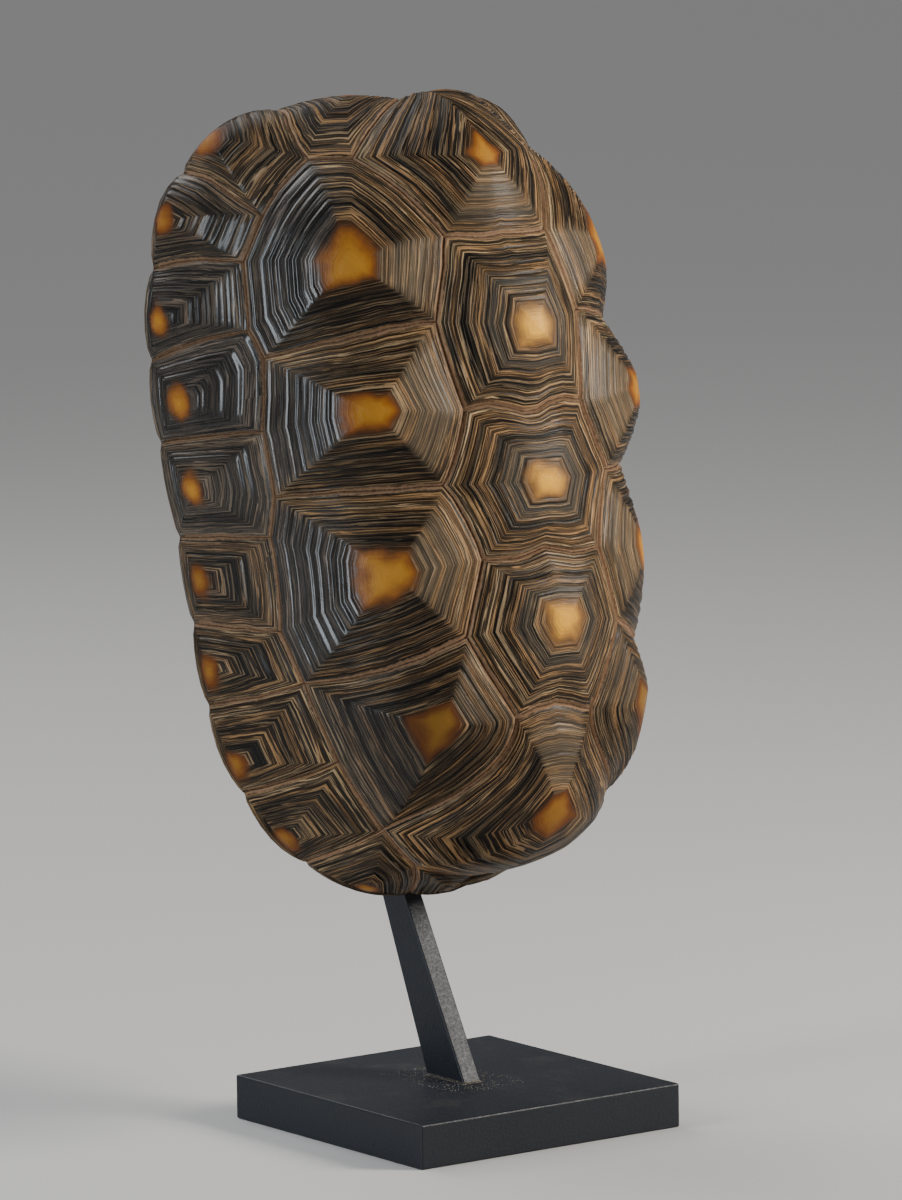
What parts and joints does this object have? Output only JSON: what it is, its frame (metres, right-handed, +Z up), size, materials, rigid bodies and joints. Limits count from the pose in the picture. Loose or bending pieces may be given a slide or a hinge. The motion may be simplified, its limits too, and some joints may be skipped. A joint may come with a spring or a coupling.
{
  "type": "tortoise carapace on a stand",
  "caption": "Domed tortoise carapace with raised scutes, mounted head end up on a slanted flat bar over a square base plate.",
  "frame": {"origin": "centre of the base plate's underside", "axes": "+Z up, towards the head end of the carapace; the domed side faces -Y and the open side +Y; the animal's left is -X"},
  "size_m": [0.2218, 0.1834, 0.4875],
  "materials": {
    "keratin": "satin",
    "black_coat": "fine texture, satin",
    "felt": "matt",
    "zinc_steel": "satin"
  },
  "bodies": {
    "root": {"carapace": "keratin", "post": "black_coat", "base_plate": "black_coat", "pad_plate": "black_coat", "felt_pad": "felt", "base_screw_1": "zinc_steel", "base_screw_2": "zinc_steel"}
  },
  "joints": []
}
